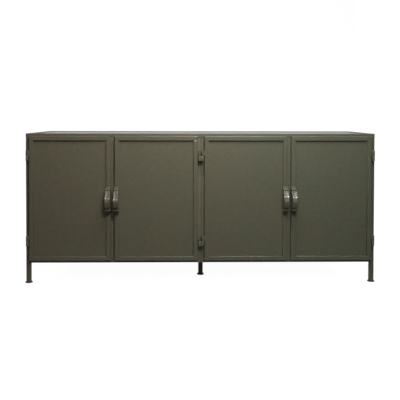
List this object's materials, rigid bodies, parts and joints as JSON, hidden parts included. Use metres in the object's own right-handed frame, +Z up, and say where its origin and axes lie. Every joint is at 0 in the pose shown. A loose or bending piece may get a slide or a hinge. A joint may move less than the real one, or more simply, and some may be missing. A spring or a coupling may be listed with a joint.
{
  "type": "sideboard",
  "caption": "Low industrial metal sideboard: a square-tube frame on round feet with overlay doors in pairs, barrel hinges, bow handles, shelves and magnetic catches.",
  "frame": {"origin": "bottom centre of the bounding box, on the floor", "axes": "+X to the right along the front, +Y from the front to the back, +Z up"},
  "size_m": [1.614, 0.4758, 0.685],
  "materials": {
    "olive_paint": "satin olive paint, faintly mottled",
    "dark_olive_paint": "satin dark olive paint",
    "bare_steel": "plain steel",
    "black_plastic": "matt"
  },
  "bodies": {
    "cabinet": {"front_left_post": "olive_paint", "front_right_post": "olive_paint", "rear_left_post": "olive_paint", "rear_right_post": "olive_paint", "rear_centre_post": "olive_paint", "front_centre_left_post": "olive_paint", "front_centre_right_post": "olive_paint", "left_mid_post": "olive_paint", "right_mid_post": "olive_paint", "front_top_rail": "olive_paint", "rear_top_rail": "olive_paint", "left_top_rail": "olive_paint", "right_top_rail": "olive_paint", "top_cross_rail": "olive_paint", "front_left_bottom_rail": "olive_paint", "front_right_bottom_rail": "olive_paint", "rear_bottom_rail": "olive_paint", "left_bottom_rail": "olive_paint", "right_bottom_rail": "olive_paint", "bottom_cross_rail": "olive_paint", "top_panel": "olive_paint", "left_floor_panel": "olive_paint", "right_floor_panel": "olive_paint", "left_side_panel": "olive_paint", "right_side_panel": "olive_paint", "left_back_panel": "olive_paint", "right_back_panel": "olive_paint", "centre_partition": "olive_paint", "left_shelf": "olive_paint", "right_shelf": "olive_paint", "shelf_angles": "dark_olive_paint", "centre_leg": "dark_olive_paint", "feet": "dark_olive_paint", "hinge_frame_knuckles": "olive_paint", "hinge_pins": "bare_steel", "hinge_washers": "bare_steel", "catch_cases": "black_plastic", "catch_magnets": "bare_steel", "catch_screws": "bare_steel"},
    "door_1": {"door_1_frame": "olive_paint", "door_1_panel": "olive_paint", "door_1_handle": "olive_paint", "door_1_handle_screws": "bare_steel", "door_1_hinge_knuckles": "olive_paint"},
    "door_2": {"door_2_frame": "olive_paint", "door_2_panel": "olive_paint", "door_2_handle": "olive_paint", "door_2_handle_screws": "bare_steel", "door_2_hinge_knuckles": "olive_paint"},
    "door_3": {"door_3_frame": "olive_paint", "door_3_panel": "olive_paint", "door_3_handle": "olive_paint", "door_3_handle_screws": "bare_steel", "door_3_hinge_knuckles": "olive_paint"},
    "door_4": {"door_4_frame": "olive_paint", "door_4_panel": "olive_paint", "door_4_handle": "olive_paint", "door_4_handle_screws": "bare_steel", "door_4_hinge_knuckles": "olive_paint"}
  },
  "joints": [
    {"name": "door_1_hinge", "type": "hinge", "parent": "cabinet", "child": "door_1", "pos_m": [-0.7885, -0.1891, 0.3895], "axis": [0, 0, -1], "range_deg": [0, 180]},
    {"name": "door_2_hinge", "type": "hinge", "parent": "cabinet", "child": "door_2", "pos_m": [-0.007, -0.1891, 0.3895], "axis": [0, 0, 1], "range_deg": [0, 80]},
    {"name": "door_3_hinge", "type": "hinge", "parent": "cabinet", "child": "door_3", "pos_m": [0.007, -0.1891, 0.3895], "axis": [0, 0, -1], "range_deg": [0, 80]},
    {"name": "door_4_hinge", "type": "hinge", "parent": "cabinet", "child": "door_4", "pos_m": [0.7885, -0.1891, 0.3895], "axis": [0, 0, 1], "range_deg": [0, 180]}
  ]
}
